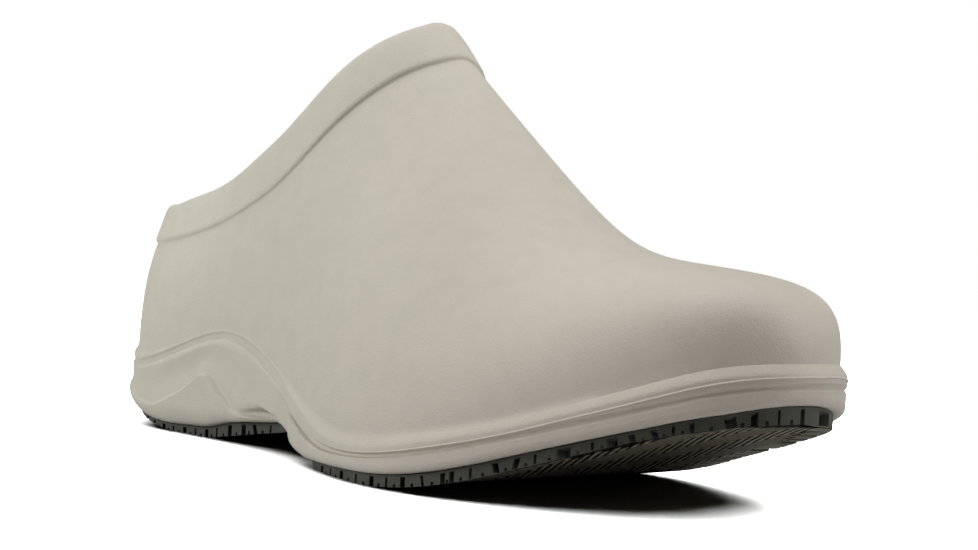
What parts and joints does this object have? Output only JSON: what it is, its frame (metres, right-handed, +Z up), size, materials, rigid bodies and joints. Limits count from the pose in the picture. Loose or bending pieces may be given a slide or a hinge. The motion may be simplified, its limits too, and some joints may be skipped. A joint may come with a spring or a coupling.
{
  "type": "slip-on work clog",
  "caption": "Off-white moulded slip-on work clog with closed heel, high instep, raised collar cuff and dark slip-resistant rubber pads; right shoe.",
  "frame": {"origin": "centre of the shoe's footprint box, on the floor that it stands on", "axes": "+X from heel to toe, +Y to the medial (inner) side, +Z up"},
  "size_m": [0.2992, 0.1078, 0.1379],
  "materials": {
    "bone_foam_rubber": "matte moulded skin",
    "tread_rubber": "matte",
    "footbed_foam": "matte"
  },
  "bodies": {
    "root": {"moulded_body": "bone_foam_rubber", "outsole_forefoot": "tread_rubber", "outsole_heel": "tread_rubber", "insole": "footbed_foam"}
  },
  "joints": []
}
